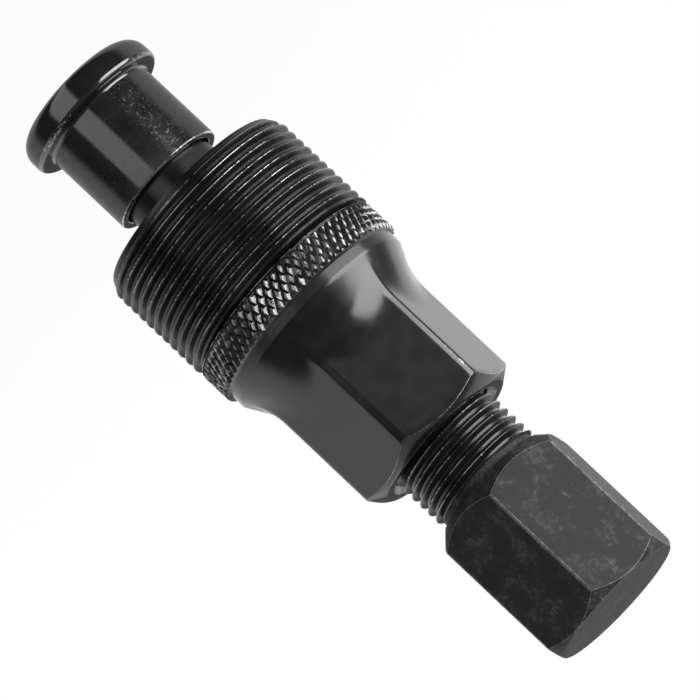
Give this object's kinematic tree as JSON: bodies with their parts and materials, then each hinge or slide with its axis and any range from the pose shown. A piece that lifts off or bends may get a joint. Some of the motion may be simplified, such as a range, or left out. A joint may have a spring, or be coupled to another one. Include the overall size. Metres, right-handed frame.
{
  "type": "bicycle crank puller",
  "caption": "Bicycle crank puller: steel body with an M22 outside thread, knurled band and hexagon, a hexagon-headed drive screw through it, and a swivelling push foot on its nose.",
  "frame": {"origin": "centre of the push foot's bearing face, on which the tool stands", "axes": "+Z along the common axis from the foot to the screw's head, +Y square to a flat of the body"},
  "size_m": [0.022, 0.022, 0.0692],
  "materials": {
    "body_black_steel": "gloss black oxide on steel, crests and edges worn bright",
    "screw_black_steel": "matt black oxide on steel, scuffed on the head",
    "foot_black_steel": "gloss black oxide on steel, rim worn bright",
    "ring_rubber": "plain black rubber"
  },
  "bodies": {
    "puller_body": {"puller_body": "body_black_steel"},
    "foot_ring": {"foot_ring": "ring_rubber"},
    "drive_screw": {"drive_screw": "screw_black_steel"},
    "push_foot": {"push_foot": "foot_black_steel"}
  },
  "joints": [
    {"name": "screw_advance", "type": "slide", "parent": "puller_body", "child": "foot_ring", "axis": [0, 0, -1], "range_m": [-0.012, 0.0057]},
    {"name": "screw_turn", "type": "hinge", "parent": "foot_ring", "child": "drive_screw", "pos_m": [0, 0, 0.0613], "axis": [0, 0, -1], "range_deg": [-4322, 2054]},
    {"name": "foot_pull", "type": "slide", "parent": "foot_ring", "child": "push_foot", "axis": [0, 0, -1], "range_m": [0, 0.0092]}
  ],
  "couplings": [
    {"joint": "screw_turn", "follows": "screw_advance", "rad_per_m": 6283.2}
  ]
}
